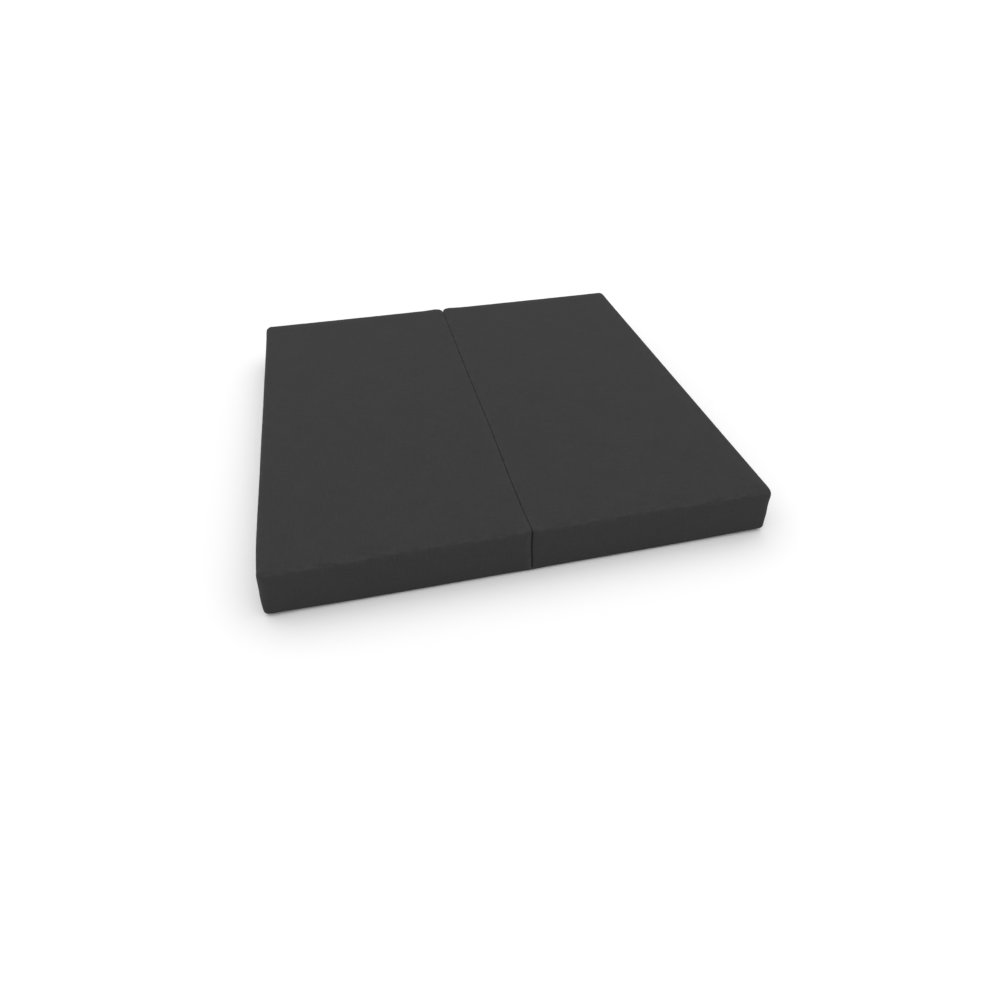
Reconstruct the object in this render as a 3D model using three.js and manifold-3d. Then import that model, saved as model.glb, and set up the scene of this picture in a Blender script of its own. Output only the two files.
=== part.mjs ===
// A two-part folding futon mattress, lying open on the floor.
//
// Each half is a foam slab with wadding above and below it, held in a thin liner and then in a zipped
// cloth cover. The cover is a box cover: a top panel, an underside panel and a border that runs round
// three sides, with a zip panel let into the back. The undersides of the two covers run on into each
// other across the fold, so the mattress closes like a book with its undersides together.
//
// Millimetres, +Z up. X runs across the two halves, -Y is the front and +Y the zip side. The origin is
// on the floor, at the middle of the fold.
import * as THREE from 'three';
import { mergeVertices } from 'three/addons/utils/BufferGeometryUtils.js';
import Module from 'manifold-3d';

// The mattress
const overallWidth = 1400;
const overallDepth = 1400;
const height = 150;
const foldGap = 4; // between the inner walls of the two halves
const edgeRound = 26; // of the long edges, top and bottom
const cornerRound = 30; // of the upright corners, seen from above

// Layers, from the outside in
const cloth = 1.6;
const linerCloth = 0.6;
const wadding = 12;
const ease = 0.4; // free space between layers, and at a seam
const zipSpace = 2.4; // room behind the cover's walls for the zip's tapes and slider

// The zip in the back wall
const zipPanelEnd = 50; // from a half's side wall to the end of its zip panel
const zipWindow = 8; // height of the slot that the chain lies in
const tapeThick = 0.7;
const tapeHeight = 15;
const tapeTurnUnder = 8; // tape beyond each end of the zip panel
const chainEnd = 9; // from the end of the zip panel to the end of the chain
const coilDeep = 1.6;
const coilTall = 2.05;
const coilGap = 1.3; // between the two coils, for the slider's web
const stopLong = 2.4;

// The slider, closed at its +X end, and its pull
const sliderLong = 12;
const sliderTall = 9.4;
const sliderFromStop = 1;
const wingThick = 1.2;
const innerWingThick = 0.8;
const webThick = 0.6;
const flangeThick = 0.6;
const crownHalf = 3.4;
const crownPost = 1.2;
const crownTall = 3;
const pullLong = 30;
const pullWide = 8;
const pullThick = 1.2;
const pullPivotOut = 2.6; // of the pull's pivot, from the wall's face

// The strip of cloth across the fold, and the care label
const hingeReach = 18.5; // from the fold to the flap's outer edge
const hingeCloth = 1.5;
const hingeEnd = 11; // from the front and back faces to the flap's ends
const labelWide = 50;
const labelDrop = 36;
const labelCloth = 0.8;
const labelAt = -250; // along a half's back wall, from its middle

const halfWidth = (overallWidth - foldGap) / 2;
const halfCentre = (foldGap + halfWidth) / 2;
const backFace = overallDepth / 2;
const zipHeight = height / 2;
const seamDrop = edgeRound * (1 - Math.SQRT1_2); // a seam runs halfway round each long edge
const zipPanelHalf = halfWidth / 2 - zipPanelEnd;
const chainHalf = zipPanelHalf - chainEnd;
const sliderRest = chainHalf - sliderLong / 2 - sliderFromStop;
const tapeFace = -cloth - ease; // the tapes' outer face, from the back wall's face
const coilFace = tapeFace + 0.3;

const clothColour = new THREE.Color(0.05, 0.05, 0.051);
const materials = {
  cover: new THREE.MeshStandardMaterial({ color: clothColour, roughness: 0.92 }),
  foam: new THREE.MeshStandardMaterial({ color: 0xe9e2bf, roughness: 0.95 }),
  wadding: new THREE.MeshStandardMaterial({ color: 0xf2f1ec, roughness: 1 }),
  liner: new THREE.MeshStandardMaterial({ color: 0xe4e3df, roughness: 0.95 }),
  tape: new THREE.MeshStandardMaterial({ color: 0x1c1c1d, roughness: 0.9 }),
  coil: new THREE.MeshStandardMaterial({ color: 0x18181a, roughness: 0.45 }),
  slider: new THREE.MeshStandardMaterial({ color: 0x2a2a2c, roughness: 0.35, metalness: 0.8 }),
  label: new THREE.MeshStandardMaterial({ color: 0xdedcd6, roughness: 0.85 }),
};

const wasm = await Module();
wasm.setup();

// A three.js geometry as a manifold-3d solid.
function solid(geometry) {
  const bare = geometry.index ? geometry.toNonIndexed() : geometry.clone();
  bare.deleteAttribute('normal');
  bare.deleteAttribute('uv');
  const merged = mergeVertices(bare, 1e-4);
  const vertProperties = merged.attributes.position.array;
  const triVerts = new Uint32Array(merged.index.array);
  return new wasm.Manifold(new wasm.Mesh({ numProp: 3, vertProperties, triVerts }));
}

// A manifold-3d solid as a three.js geometry with flat faces.
function geometryOf(made) {
  const mesh = made.getMesh();
  const geometry = new THREE.BufferGeometry();
  const points = new Float32Array(mesh.numVert * 3);
  for (let i = 0; i < mesh.numVert; i++) {
    points.set(mesh.vertProperties.subarray(i * mesh.numProp, i * mesh.numProp + 3), i * 3);
  }
  geometry.setAttribute('position', new THREE.BufferAttribute(points, 3));
  geometry.setIndex(new THREE.BufferAttribute(new Uint32Array(mesh.triVerts), 1));
  const flat = geometry.toNonIndexed();
  flat.computeVertexNormals();
  return flat;
}

// A box between two corners.
function block(low, high) {
  const size = high.map((value, i) => value - low[i]);
  const middle = high.map((value, i) => (value + low[i]) / 2);
  return new THREE.BoxGeometry(...size).translate(...middle);
}

function roundedRectangle(width, depth, radius) {
  const x = width / 2 - radius;
  const y = depth / 2 - radius;
  const shape = new THREE.Shape();
  shape.absarc(x, y, radius, 0, Math.PI / 2);
  shape.absarc(-x, y, radius, Math.PI / 2, Math.PI);
  shape.absarc(-x, -y, radius, Math.PI, 1.5 * Math.PI);
  shape.absarc(x, -y, radius, 1.5 * Math.PI, 2 * Math.PI);
  return shape;
}

// The outer form of a half, smaller by one amount at its walls and another at its top and underside.
function slab(sideInset, faceInset) {
  const round = edgeRound - faceInset;
  const width = halfWidth - 2 * sideInset;
  const depth = overallDepth - 2 * sideInset;
  const outline = roundedRectangle(width, depth, cornerRound - sideInset);
  const geometry = new THREE.ExtrudeGeometry(outline, {
    depth: height - 2 * faceInset - 2 * round,
    curveSegments: 3,
    bevelThickness: round,
    bevelSize: round,
    bevelOffset: -round,
    bevelSegments: 4,
  });
  return solid(geometry.translate(0, 0, faceInset + round));
}

// A slice of a half between two heights.
function slice(low, high) {
  const far = 2 * overallDepth;
  return solid(block([-far, -far, low], [far, far, high]));
}

function piece(name, geometry, material) {
  const mesh = new THREE.Mesh(geometry, material);
  mesh.name = name;
  return mesh;
}

// Foam core and the wadding above and below it.
function filling(side) {
  const face = cloth + linerCloth + 2 * ease;
  const whole = slab(face + zipSpace, face);
  const lowJoin = face + wadding;
  const highJoin = height - lowJoin;
  const lower = whole.intersect(slice(0, lowJoin - ease / 2));
  const core = whole.intersect(slice(lowJoin + ease / 2, highJoin - ease / 2));
  const upper = whole.intersect(slice(highJoin + ease / 2, height));
  return [
    piece(side + '_foam_core', geometryOf(core), materials.foam),
    piece(side + '_upper_wadding', geometryOf(upper), materials.wadding),
    piece(side + '_lower_wadding', geometryOf(lower), materials.wadding),
  ];
}

// Thin bag round the filling, with the slit that it was filled through.
function innerLiner(side) {
  const outer = slab(cloth + ease + zipSpace, cloth + ease);
  const inner = slab(cloth + linerCloth + ease + zipSpace, cloth + linerCloth + ease);
  const slitHalf = halfWidth / 3;
  const slit = solid(block([-slitHalf, 0, zipHeight - 3], [slitHalf, overallDepth, zipHeight + 3]));
  const bag = outer.subtract(inner).subtract(slit);
  return piece(side + '_inner_liner', geometryOf(bag), materials.liner);
}

// Top panel, underside panel, border round three sides, and the two strips of the zip panel.
function cover(side) {
  const shell = slab(0, 0).subtract(slab(cloth, cloth));
  const top = shell.intersect(slice(height - seamDrop + ease / 2, height + 1));
  const underside = shell.intersect(slice(-1, seamDrop - ease / 2));
  const walls = shell.intersect(slice(seamDrop + ease / 2, height - seamDrop - ease / 2));
  const backOf = (half, low, high) => solid(block([-half, 0, low], [half, overallDepth, high]));
  const border = walls.subtract(backOf(zipPanelHalf + ease, -1, height + 1));
  const upperStrip = walls.intersect(backOf(zipPanelHalf, zipHeight + zipWindow / 2, height));
  const lowerStrip = walls.intersect(backOf(zipPanelHalf, 0, zipHeight - zipWindow / 2));
  return [
    piece(side + '_cover_top', geometryOf(top), materials.cover),
    piece(side + '_cover_underside', geometryOf(underside), materials.cover),
    piece(side + '_cover_border', geometryOf(border), materials.cover),
    piece(side + '_zip_panel_upper', geometryOf(upperStrip), materials.cover),
    piece(side + '_zip_panel_lower', geometryOf(lowerStrip), materials.cover),
  ];
}

// Tapes, coils and end stops. They lie behind and in the slot of the zip panel.
function zipChain(side) {
  const tapeHalf = zipPanelHalf + tapeTurnUnder;
  const tapeInner = coilGap / 2 + 0.3;
  const tape = (low, high) => block([-tapeHalf, tapeFace - tapeThick, low], [tapeHalf, tapeFace, high]);
  const coil = (low, high) => block([-chainHalf, coilFace, low], [chainHalf, coilFace + coilDeep, high]);
  const coilInner = coilGap / 2;
  const stopTall = zipWindow / 2 - 0.6;
  const stopFace = coilFace + coilDeep + 0.4;
  const stop = (low) => block([low, coilFace, -stopTall], [low + stopLong, stopFace, stopTall]);
  const made = [
    piece(side + '_zip_tape_upper', tape(tapeInner, tapeHeight), materials.tape),
    piece(side + '_zip_tape_lower', tape(-tapeHeight, -tapeInner), materials.tape),
    piece(side + '_zip_coil_upper', coil(coilInner, coilInner + coilTall), materials.coil),
    piece(side + '_zip_coil_lower', coil(-coilInner - coilTall, -coilInner), materials.coil),
    piece(side + '_zip_stop_closed', stop(chainHalf + ease), materials.slider),
    piece(side + '_zip_stop_open', stop(-chainHalf - ease - stopLong), materials.slider),
  ];
  for (const mesh of made) mesh.position.set(0, backFace, zipHeight);
  return made;
}

// Slider: wings outside and inside the cover, joined by a thin web between the coils, with flanges
// that hold the coils and a crown for the pull.
function zipSlider(side) {
  const long = sliderLong / 2;
  const tall = sliderTall / 2;
  const wingFace = ease + wingThick;
  const innerFace = tapeFace - tapeThick - ease;
  const innerTall = tall - 0.4;
  const flangeInner = coilGap / 2 + coilTall + 0.35;
  const crownIn = crownHalf - crownPost;
  const crownFace = wingFace + crownTall;
  const postTall = crownPost - 0.1;
  const overlap = 0.1; // blocks run this far into each other where they join
  const blocks = [
    block([-long, ease, -tall], [long, wingFace, tall]),
    block([-long + 1, innerFace - innerWingThick, -innerTall], [long - 1, innerFace, innerTall]),
    block([-4, innerFace - overlap, -webThick / 2], [4, ease + overlap, webThick / 2]),
    block([-long, tapeFace + 0.8, flangeInner], [long, ease + overlap, flangeInner + flangeThick]),
    block([-long, tapeFace + 0.8, -flangeInner - flangeThick], [long, ease + overlap, -flangeInner]),
    block([-crownHalf, wingFace - overlap, -postTall], [-crownIn, crownFace, postTall]),
    block([crownIn, wingFace - overlap, -postTall], [crownHalf, crownFace, postTall]),
    block([-crownHalf, crownFace - 1, -postTall], [crownHalf, crownFace, postTall]),
  ];
  const body = blocks.map(solid).reduce((sum, next) => sum.add(next));
  const mesh = piece(side + '_zip_slider', geometryOf(body), materials.slider);
  mesh.position.set(sliderRest, backFace, zipHeight);
  return mesh;
}

// Pull: a flat tab with a window that the crown passes through. Its near bar turns under the crown.
function zipPull(side) {
  const half = pullWide / 2;
  const bar = pullThick / 2;
  const windowHalf = half / 2;
  const gripHole = 1.6;
  const outline = new THREE.Shape();
  outline.moveTo(bar, -half);
  outline.lineTo(bar, half);
  outline.lineTo(-pullLong + half, half);
  outline.absarc(-pullLong + half, 0, half, Math.PI / 2, 1.5 * Math.PI);
  outline.closePath();
  const window = new THREE.Path();
  window.moveTo(-bar, -windowHalf);
  window.lineTo(-bar, windowHalf);
  window.lineTo(-6.5, windowHalf);
  window.lineTo(-6.5, -windowHalf);
  window.closePath();
  const hole = new THREE.Path();
  hole.absarc(-pullLong + half + 1, 0, gripHole, 0, 2 * Math.PI, true);
  outline.holes.push(window, hole);
  const flat = { depth: pullThick, curveSegments: 6, bevelEnabled: false };
  const geometry = new THREE.ExtrudeGeometry(outline, flat);
  geometry.translate(0, 0, -bar).rotateX(Math.PI / 2);
  const mesh = piece(side + '_zip_pull', geometry, materials.slider);
  mesh.position.set(sliderRest, backFace + pullPivotOut, zipHeight);
  return mesh;
}

// One side of the cloth that joins the undersides. towards is the direction of the fold, along X.
function hingeFlap(side, towards) {
  const fold = halfCentre - 0.2;
  const edge = halfCentre - hingeReach;
  const reach = [towards * fold, towards * edge].sort((a, b) => a - b);
  const end = backFace - hingeEnd;
  const flap = block([reach[0], -end, 0], [reach[1], end, hingeCloth]);
  return piece(side + '_hinge_flap', flap, materials.cover);
}

// Blank care label, sewn into the top seam of the back wall and hanging down it.
function careLabel() {
  const inner = edgeRound + 0.3;
  const outer = inner + labelCloth;
  const low = -labelDrop;
  const profile = new THREE.Shape();
  profile.moveTo(outer, low);
  profile.absarc(0, 0, outer, 0, Math.PI / 4, false);
  profile.absarc(0, 0, inner, Math.PI / 4, 0, true);
  profile.lineTo(inner, low);
  profile.closePath();
  const across = { depth: labelWide, curveSegments: 3, bevelEnabled: false };
  const geometry = new THREE.ExtrudeGeometry(profile, across);
  geometry.rotateY(Math.PI / 2).rotateX(Math.PI / 2);
  const mesh = piece('care_label', geometry, materials.label);
  mesh.position.set(labelAt, backFace - edgeRound, height - edgeRound);
  return mesh;
}

// One half, in its own frame: X from its middle, the fold at towards times half its width.
function half(side, towards) {
  const group = new THREE.Group();
  group.add(...filling(side), innerLiner(side), ...cover(side), ...zipChain(side));
  group.add(zipSlider(side), zipPull(side), hingeFlap(side, towards));
  group.position.x = -towards * halfCentre;
  return group;
}

const mattress = new THREE.Group();
const left = half('left', 1);
left.add(careLabel());
mattress.add(left, half('right', -1));

export default mattress;
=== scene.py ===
import math

import bpy
import numpy as np
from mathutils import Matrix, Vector
from mathutils.bvhtree import BVHTree


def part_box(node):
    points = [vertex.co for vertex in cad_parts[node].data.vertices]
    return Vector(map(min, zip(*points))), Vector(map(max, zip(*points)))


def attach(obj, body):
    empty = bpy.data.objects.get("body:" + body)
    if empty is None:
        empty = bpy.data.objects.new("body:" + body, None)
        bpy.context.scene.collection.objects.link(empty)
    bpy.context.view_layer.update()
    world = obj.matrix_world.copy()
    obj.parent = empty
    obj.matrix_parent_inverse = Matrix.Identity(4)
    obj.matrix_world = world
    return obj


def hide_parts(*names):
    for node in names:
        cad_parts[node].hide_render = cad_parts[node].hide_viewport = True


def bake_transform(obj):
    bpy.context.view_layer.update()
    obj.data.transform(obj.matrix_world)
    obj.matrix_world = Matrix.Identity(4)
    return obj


# A folding futon mattress: two foam halves in zipped charcoal covers, lying open on the floor.
# Metres, +Z up. X runs across the halves, -Y is the front and +Y the side with the zips.
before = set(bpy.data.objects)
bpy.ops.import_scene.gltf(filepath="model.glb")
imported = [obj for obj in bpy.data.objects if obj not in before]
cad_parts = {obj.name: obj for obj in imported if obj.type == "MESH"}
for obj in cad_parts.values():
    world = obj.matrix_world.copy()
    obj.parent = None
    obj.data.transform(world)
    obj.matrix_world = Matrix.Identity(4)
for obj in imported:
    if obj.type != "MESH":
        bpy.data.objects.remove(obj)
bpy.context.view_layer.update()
scene = bpy.context.scene
halfNames = ('left', 'right')


def boxOf(*nodes):
    boxes = [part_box(node) for node in nodes]
    low = Vector([min(box[0][i] for box in boxes) for i in range(3)])
    high = Vector([max(box[1][i] for box in boxes) for i in range(3)])
    return low, high


leftLow, leftHigh = boxOf('left_cover_top', 'left_cover_underside', 'left_cover_border')
zipLow, zipHigh = boxOf('left_zip_panel_upper', 'left_zip_panel_lower')
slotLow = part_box('left_zip_panel_lower')[1].z
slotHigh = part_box('left_zip_panel_upper')[0].z
height = leftHigh.z
backFace = leftHigh.y
halfMiddle = (zipLow.x + zipHigh.x) / 2
print('frame loaded, half', [round(side, 4) for side in leftHigh - leftLow])


# Shader maths. A Value wraps a socket, so that arithmetic on it adds Math nodes.
class Value:
    def __init__(self, shader, socket):
        self.shader = shader
        self.socket = socket

    def maths(self, operation, *numbers):
        inputs = dict(enumerate(numbers))
        return self.shader.node('ShaderNodeMath', {'operation': operation}, inputs)

    def __add__(self, other):
        return self.maths('ADD', self, other)

    def __radd__(self, other):
        return self.maths('ADD', other, self)

    def __sub__(self, other):
        return self.maths('SUBTRACT', self, other)

    def __rsub__(self, other):
        return self.maths('SUBTRACT', other, self)

    def __mul__(self, other):
        return self.maths('MULTIPLY', self, other)

    def __rmul__(self, other):
        return self.maths('MULTIPLY', other, self)

    def sine(self):
        return self.maths('SINE', self)

    def size(self):
        return self.maths('ABSOLUTE', self)

    def between(self, low, high):
        return self.shader.node('ShaderNodeMapRange', {'interpolation_type': 'SMOOTHSTEP'},
                                {0: self, 1: low, 2: high})


class Shader:
    def __init__(self, name, **constants):
        self.material = bpy.data.materials.new(name)
        self.material.use_nodes = True
        self.nodes = self.material.node_tree.nodes
        self.links = self.material.node_tree.links
        self.surface = self.nodes['Principled BSDF']
        for socket, value in constants.items():
            self.feed(self.surface, socket.replace('_', ' '), value)

    def feed(self, node, socket, value):
        target = node.inputs[socket]
        if isinstance(value, Value):
            self.links.new(value.socket, target)
        elif isinstance(value, (tuple, list)) and len(value) == 3 and target.type == 'RGBA':
            target.default_value = (*value, 1)
        else:
            target.default_value = value

    def node(self, kind, settings=None, sockets=None, out=0):
        made = self.nodes.new(kind)
        for name, value in (settings or {}).items():
            setattr(made, name, value)
        for socket, value in (sockets or {}).items():
            self.feed(made, socket, value)
        return Value(self, made.outputs[out])

    def set(self, socket, value):
        self.feed(self.surface, socket, value)

    def mix(self, share, first, second):
        return self.node('ShaderNodeMix', {'data_type': 'RGBA'}, {0: share, 6: first, 7: second}, out=2)

    def stretch(self, place, scale):
        return self.node('ShaderNodeVectorMath', {'operation': 'MULTIPLY'}, {0: place, 1: scale})

    def noise(self, place, scale, detail=2.0, roughness=0.5):
        return self.node('ShaderNodeTexNoise', {'noise_dimensions': '3D'},
                         {'Vector': place, 'Scale': scale, 'Detail': detail, 'Roughness': roughness})

    def bump(self, height, distance, strength=1.0, normal=None):
        sockets = {'Height': height, 'Distance': distance, 'Strength': strength}
        if normal:
            sockets['Normal'] = normal
        return self.node('ShaderNodeBump', None, sockets)

    def clothPlace(self):
        return self.node('ShaderNodeUVMap', {'uv_map': 'clothPlace'})

    def objectPlace(self):
        return self.node('ShaderNodeTexCoord', None, None, out=3)

    def attribute(self, name):
        return self.node('ShaderNodeAttribute', {'attribute_name': name}, None, out=2)


coverCloth = {
    'dark': (0.0280, 0.0280, 0.0282),
    'light': (0.0426, 0.0425, 0.0427),
    # the next colour lightens worn seams and also paints a highlight on the left half's front corner beside
    # the gap
    'wearAndHighlightTone': (0.0580, 0.0578, 0.0580),
    'yarn': 0.0011,  # from one yarn to the next
    'slub': 0.05,    # length of a thick place in a yarn
    'roughness': 0.88,
    'sheen': 0.02,
}


# Plain weave. Warp and weft cross over and under each other, each with its own run of light and dark.
def wovenCloth(name, look, wearAndHighlight=None):
    shader = Shader(name, Sheen_Weight=look['sheen'], Sheen_Roughness=0.5, Specular_IOR_Level=0.08)
    place = shader.clothPlace()
    parts = shader.nodes.new('ShaderNodeSeparateXYZ')
    shader.links.new(place.socket, parts.inputs[0])
    across, along = Value(shader, parts.outputs[0]), Value(shader, parts.outputs[1])
    turn = math.pi / look['yarn']
    weave = (across * turn).sine() * (along * turn).sine()
    warp = shader.noise(shader.stretch(place, (1 / look['yarn'], 1 / look['slub'], 1)), 1.0, 2.0)
    weft = shader.noise(shader.stretch(place, (1 / look['slub'], 1 / look['yarn'], 1)), 1.0, 2.0)
    warpOnTop = weave.between(-0.25, 0.25)
    yarn = warp * warpOnTop + weft * (1 - warpOnTop)
    patches = shader.noise(place, 7.0, 3.0, 0.6)
    tone = (yarn.between(0.28, 0.74) * 0.8 + patches * 0.34) - 0.07
    colour = shader.mix(tone, look['dark'], look['light'])
    # lighter where the cloth is worn along its seams, and where a highlight is painted beside the gap, as the
    # attribute gives
    if wearAndHighlight:
        wearAndGapHighlight = shader.attribute(wearAndHighlight) * shader.noise(place, 38.0, 3.0).between(0.35, 0.7)
        colour = shader.mix(wearAndGapHighlight * 0.45, colour, look['wearAndHighlightTone'])
    shader.set('Base Color', colour)
    shader.set('Roughness', look['roughness'] + (yarn - 0.5) * 0.12)
    relief = weave.size() * 0.6 + yarn * 0.5
    fine = shader.bump(relief, look['yarn'] * 0.22, 0.55)
    shader.set('Normal', shader.bump(shader.noise(place, 60.0, 3.0), 0.0009, 0.5, fine))
    return shader.material


def foamLook():
    shader = Shader('foam', Subsurface_Weight=0.1)
    place = shader.objectPlace()
    cells = shader.node('ShaderNodeTexVoronoi', {'feature': 'F1'}, {'Vector': place, 'Scale': 520.0})
    broad = shader.noise(place, 9.0, 3.0)
    shader.set('Base Color', shader.mix(broad * 0.5 + cells * 0.4, (0.84, 0.79, 0.58), (0.70, 0.62, 0.38)))
    shader.set('Roughness', 0.9 + cells * 0.08)
    shader.set('Normal', shader.bump(cells, 0.0006, 0.8))
    return shader.material


def fibreLook(name, light, shade, scale):
    shader = Shader(name, Sheen_Weight=0.2)
    place = shader.objectPlace()
    tangle = shader.noise(shader.stretch(place, (1.0, 0.35, 1.6)), scale, 6.0, 0.7)
    shader.set('Base Color', shader.mix(tangle.between(0.3, 0.7), shade, light))
    shader.set('Roughness', 0.88 + tangle * 0.1)
    shader.set('Normal', shader.bump(tangle, 0.0015, 0.7))
    return shader.material


def metalLook():
    shader = Shader('sliderMetal', Metallic=0.85, Coat_Weight=0.15, Coat_Roughness=0.3)
    place = shader.objectPlace()
    scuffs = shader.noise(shader.stretch(place, (1.0, 1.0, 6.0)), 420.0, 5.0, 0.7)
    cloudy = shader.noise(place, 90.0, 2.0)
    shader.set('Base Color', shader.mix(scuffs.between(0.56, 0.74), (0.085, 0.085, 0.09), (0.28, 0.28, 0.29)))
    shader.set('Roughness', 0.28 + cloudy * 0.14 + scuffs * 0.1)
    shader.set('Normal', shader.bump(scuffs, 0.00005, 0.6))
    return shader.material


def nylonLook():
    shader = Shader('coilNylon', Specular_IOR_Level=0.5)
    place = shader.objectPlace()
    mottle = shader.noise(place, 300.0, 2.0)
    shader.set('Base Color', shader.mix(mottle, (0.008, 0.008, 0.009), (0.02, 0.02, 0.021)))
    shader.set('Roughness', 0.32 + mottle * 0.2)
    return shader.material


def threadLook(name, dark, light):
    shader = Shader(name, Sheen_Weight=0.3)
    place = shader.objectPlace()
    plies = shader.noise(place, 1800.0, 2.0)
    shader.set('Base Color', shader.mix(plies, dark, light))
    shader.set('Roughness', 0.6 + plies * 0.2)
    shader.set('Normal', shader.bump(plies, 0.0002, 0.6))
    return shader.material


coverMaterial = wovenCloth('charcoalCover', coverCloth, wearAndHighlight='edgeWearAndGapHighlight')
hingeMaterial = wovenCloth('charcoalHinge', {**coverCloth, 'yarn': 0.0014, 'roughness': 0.84})
tapeMaterial = wovenCloth('zipTape', {
    'dark': (0.007, 0.007, 0.0075), 'light': (0.018, 0.018, 0.019), 'wearAndHighlightTone': (0.03, 0.03, 0.03),
    'yarn': 0.0007, 'slub': 0.02, 'roughness': 0.8, 'sheen': 0.15})
labelMaterial = wovenCloth('careLabel', {
    'dark': (0.60, 0.585, 0.55), 'light': (0.80, 0.79, 0.755), 'wearAndHighlightTone': (0.9, 0.9, 0.9),
    'yarn': 0.0005, 'slub': 0.012, 'roughness': 0.7, 'sheen': 0.05})
linerMaterial = wovenCloth('liner', {
    'dark': (0.62, 0.61, 0.58), 'light': (0.82, 0.81, 0.78), 'wearAndHighlightTone': (0.9, 0.9, 0.9),
    'yarn': 0.0009, 'slub': 0.03, 'roughness': 0.9, 'sheen': 0.05})
foamMaterial = foamLook()
waddingMaterial = fibreLook('wadding', (0.90, 0.89, 0.86), (0.70, 0.69, 0.66), 240.0)
metalMaterial = metalLook()
nylonMaterial = nylonLook()
threadMaterial = threadLook('charcoalThread', (0.03, 0.03, 0.03), (0.075, 0.075, 0.077))
labelThread = threadLook('labelThread', (0.5, 0.49, 0.46), (0.75, 0.74, 0.7))
print('materials made')


def smoothstep(value, low, high):
    share = np.clip((value - low) / (high - low), 0, 1)
    return share * share * (3 - 2 * share)


def newMesh(name, points, faces, material):
    mesh = bpy.data.meshes.new(name)
    mesh.from_pydata([tuple(point) for point in points], [], faces)
    mesh.update()
    mesh.polygons.foreach_set('use_smooth', [True] * len(mesh.polygons))
    made = bpy.data.objects.new(name, mesh)
    made.data.materials.append(material)
    scene.collection.objects.link(made)
    return made


# The places of a mesh's points, or their normals.
def pointsOf(mesh, what='co'):
    flat = np.empty(len(mesh.vertices) * 3)
    mesh.vertices.foreach_get(what, flat)
    return flat.reshape(-1, 3)


# Where each corner of each face is on the cloth it is cut from, for its weave.
def addClothPlaces(mesh, places):
    mesh.uv_layers.new(name='clothPlace').data.foreach_set('uv', np.asarray(places, float).ravel())


def movePoints(mesh, points):
    mesh.vertices.foreach_set('co', np.asarray(points, float).ravel())
    mesh.update()


def addNumbers(mesh, name, values):
    layer = mesh.attributes.new(name, 'FLOAT', 'POINT')
    layer.data.foreach_set('value', np.asarray(values, float))


def numbersOf(mesh, name):
    values = np.empty(len(mesh.vertices))
    mesh.attributes[name].data.foreach_get('value', values)
    return values


# Turns a piece's modifiers into its mesh.
def settle(piece):
    bpy.context.view_layer.update()
    graph = bpy.context.evaluated_depsgraph_get()
    made = bpy.data.meshes.new_from_object(piece.evaluated_get(graph), preserve_all_data_layers=True,
                                           depsgraph=graph)
    piece.modifiers.clear()
    piece.data = made
    return piece


# Soft unevenness: a sum of waves in random directions, about -1 to 1.
def unevenness(points, wavelength, seed, count=28):
    chance = np.random.default_rng(seed)
    total = np.zeros(len(points))
    for _ in range(count):
        direction = chance.normal(size=points.shape[1])
        direction /= np.linalg.norm(direction)
        length = wavelength * chance.uniform(0.6, 1.7)
        total += np.sin(points @ direction * math.tau / length + chance.uniform(0, math.tau))
    return total / math.sqrt(count)


# Lists of four go round a half: front outer corner, front fold, back fold and back outer, or the front,
# fold, back and outer side.
cushion = {
    'gap': 0.0025,           # between the inner walls, where they stand open
    'corners': (0.027, 0.0040, 0.040, 0.027),      # seen from above
    'lowCorners': (0.014, 0.0003, 0.030, 0.018),   # the same, near the floor
    'topEdges': (0.022, 0.0040, 0.022, 0.022),     # rounding of the sides
    'topEnds': (0.022, 0.0040, 0.018, 0.022),      # and at the corners
    'lowEdges': (0.014, 0.0040, 0.014, 0.014),
    'lowEnds': (0.014, 0.0140, 0.014, 0.014),
    'crown': 0.0020,         # most that the top swells
    'wallCrown': 0.0012,
    'zipCrown': 0.0008,
    'pullIn': 0.0013,        # of the sides, between their corners
    'slackCorner': 0.0065,   # how far the left front corner sags in
    'rightSlack': 0.15,      # share of that on the right
    'fullCorner': 0.0030,    # how far the right front corner stands out
    'curl': 0.0045,          # of the underside, up at the front's outer corners
    'lip': (0.0145, 0.0178),   # below this the inner walls meet right up to the front
    'lipGap': 0.00006,
    'openReach': 0.0058,     # how far in from the front they stand open
    'frontLean': (0.0045, 0.0022),   # of the gap to the right at the front, low down and at the top
    # and how the gap wanders along the top
    'wander': ((-0.70, 0.0016), (-0.62, -0.0008), (-0.45, -0.0012),
               (-0.20, 0.0012), (0.15, -0.0012), (0.5, 0.0)),
    'stripWidth': 0.0192,    # space for the hinge strip under each half
    'stripDepth': 0.0018,
}
cloth = {
    'seamDepth': 0.0007,
    'seamWidth': 0.0026,
    'pucker': 0.00045,
    'puckerReach': 0.016,
    'waves': ((0.00045, 0.17), (0.00015, 0.06)),   # height and length of the unevenness
    'endSeam': (0.0015, 0.0013),                   # depth and width of the seams at the zip's ends
    'hem': (0.0005, 0.0045, 0.003),                # height, distance from the slot and width
    'slotDepth': 0.0033,
    # the next entry paints a highlight: a lighter band on the left half's front corner, beside the gap
    'wearAndGapHighlight': (2.2, 0.0055, 0.0042),               # strength, place and width, at the gap
}
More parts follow.
